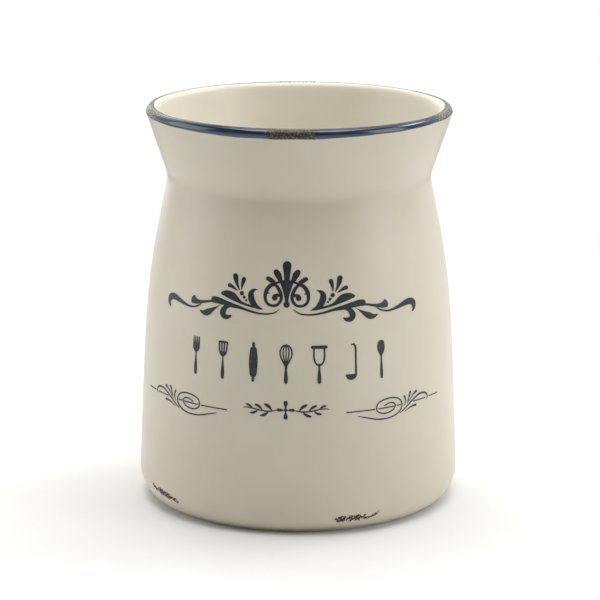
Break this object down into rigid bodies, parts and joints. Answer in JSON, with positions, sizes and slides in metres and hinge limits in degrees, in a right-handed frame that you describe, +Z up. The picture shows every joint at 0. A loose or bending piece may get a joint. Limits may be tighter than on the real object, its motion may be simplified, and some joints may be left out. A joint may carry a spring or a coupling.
{
  "type": "utensil crock",
  "caption": "Round ceramic crock for kitchen utensils, with bulging wall, drawn-in neck, flared collar, dark lip band and an open top.",
  "frame": {"origin": "middle of the foot, on the surface that the crock stands on", "axes": "+Z up along the crock's axis; the printed front faces -Y; +X is the printed front's right side as seen from the front"},
  "size_m": [0.1376, 0.1376, 0.1701],
  "materials": {
    "fired_clay": "bare fired clay, fine and matt",
    "cream_glaze": "semi-gloss cream glaze",
    "navy_glaze": "gloss navy glaze",
    "wear_paint": "brown and ochre paint, satin, fired on",
    "navy_print": "navy transfer print, satin, fired on"
  },
  "bodies": {
    "root": {"fired_body": "fired_clay", "outer_glaze": "cream_glaze", "inner_glaze": "cream_glaze", "base_glaze": "cream_glaze", "rim_band": "navy_glaze", "rim_wear_marks": "wear_paint", "foot_wear_marks": "wear_paint", "crest_fan": "navy_print", "crest_left_scroll": "navy_print", "crest_right_scroll": "navy_print", "left_flourish": "navy_print", "right_flourish": "navy_print", "tool_fork": "navy_print", "tool_turner": "navy_print", "tool_rolling_pin": "navy_print", "tool_whisk": "navy_print", "tool_masher": "navy_print", "tool_ladle": "navy_print", "tool_spoon": "navy_print", "sprig": "navy_print"}
  },
  "joints": []
}
